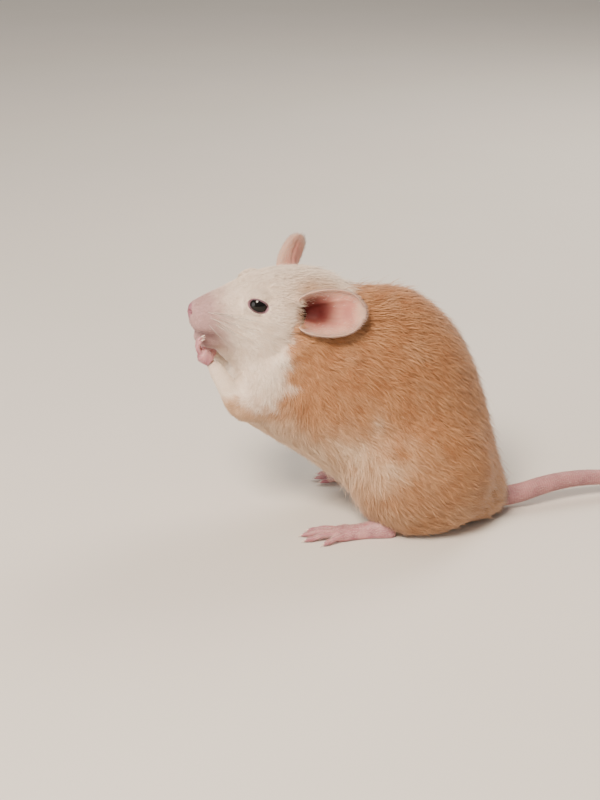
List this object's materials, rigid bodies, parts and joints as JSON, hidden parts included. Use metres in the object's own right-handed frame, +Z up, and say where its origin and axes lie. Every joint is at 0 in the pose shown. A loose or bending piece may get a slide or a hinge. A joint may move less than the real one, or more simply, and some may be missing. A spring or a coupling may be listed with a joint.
{
  "type": "pet mouse",
  "caption": "Life-size still model of a sitting pet mouse that holds both forepaws to its mouth.",
  "frame": {"origin": "middle of the bounding box's underside, on the floor plane", "axes": "-X is the way the mouse looks, +X runs to the tail tip, +Y is its right side, +Z is up"},
  "size_m": [0.1432, 0.0378, 0.0567],
  "materials": {
    "coat": "short orange-fawn fur",
    "white_coat": "short white fur",
    "bare_skin": "thin pink skin, satin",
    "eye": "wet, glossy black"
  },
  "bodies": {
    "root": {"head": "white_coat", "neck": "coat", "torso": "coat", "ear_left": "bare_skin", "ear_right": "bare_skin", "eye_left": "eye", "eye_right": "eye", "foreleg_left": "coat", "foreleg_right": "coat", "forepaw_left": "bare_skin", "forepaw_right": "bare_skin", "haunch_left": "coat", "haunch_right": "coat", "hind_foot_left": "bare_skin", "hind_foot_right": "bare_skin", "tail_1": "bare_skin", "tail_2": "bare_skin", "tail_3": "bare_skin", "tail_4": "bare_skin"}
  },
  "joints": []
}
